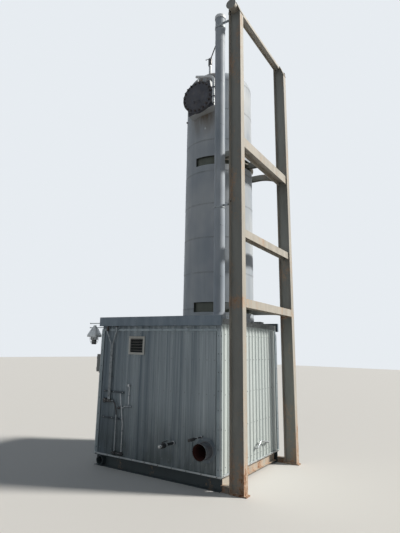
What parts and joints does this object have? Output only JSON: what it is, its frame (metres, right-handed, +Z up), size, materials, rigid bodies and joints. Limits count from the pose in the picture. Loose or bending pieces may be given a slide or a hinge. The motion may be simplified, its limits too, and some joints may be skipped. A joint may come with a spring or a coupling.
{
  "type": "gas sweetening skid",
  "caption": "Gas sweetening skid: insulated contactor tower in a lifting frame, rising through a ribbed sheet-metal process building.",
  "frame": {"origin": "middle of the part's outer box, on the ground", "axes": "+Z up, +X along the front wall towards the lifting frame, +Y from the front wall to the rear wall"},
  "size_m": [3.787, 3.2268, 9.44],
  "materials": {
    "frame_paint": "matte",
    "jacket_sheet": "satin",
    "siding": "satin",
    "trim": "satin",
    "rusty_steel": "rough",
    "galvanised": "satin",
    "dark_parts": "matte",
    "lamp_glass": "gloss"
  },
  "bodies": {
    "root": {"base_trim": "trim", "bottom_head": "frame_paint", "column_feet": "frame_paint", "columns": "frame_paint", "conduits": "galvanised", "corner_trims": "trim", "davit": "frame_paint", "door_frame": "siding", "door_leaf": "siding", "drain_pipe": "galvanised", "drain_plug": "galvanised", "drain_valve": "dark_parts", "eaves": "trim", "end_box": "dark_parts", "end_tube": "galvanised", "floor_plate": "frame_paint", "front_wall": "siding", "head_trims": "trim", "hose": "dark_parts", "inlet_nozzle": "rusty_steel", "jacket": "jacket_sheet", "jacket_dome": "jacket_sheet", "junction": "galvanised", "lamp_arm": "galvanised", "lamp_jar": "lamp_glass", "lamp_shade": "galvanised", "lamp_tip": "dark_parts", "left_end_wall": "siding", "louvre": "trim", "manifold": "dark_parts", "manway_box": "jacket_sheet", "manway_cover": "rusty_steel", "manway_neck": "rusty_steel", "nozzle_ring": "trim", "rear_wall": "siding", "right_end_wall": "siding", "roof_curb": "dark_parts", "roof_deck": "siding", "roof_edges": "trim", "rungs": "frame_paint", "saddles": "frame_paint", "sample_knob": "dark_parts", "sample_pipe": "galvanised", "side_pipe": "jacket_sheet", "side_pipe_brackets": "frame_paint", "side_pipe_cap": "jacket_sheet", "skid_cross_beams": "frame_paint", "skid_runners": "frame_paint", "skirt": "frame_paint", "top_head": "frame_paint", "top_rail": "frame_paint", "tow_pipe": "frame_paint", "tower_collar": "jacket_sheet", "trunnions": "frame_paint", "tubing": "galvanised", "vent_line": "dark_parts", "vent_stem": "jacket_sheet", "vent_valve": "dark_parts", "vessel_shell": "frame_paint", "wall_struts": "galvanised"}
  },
  "joints": []
}
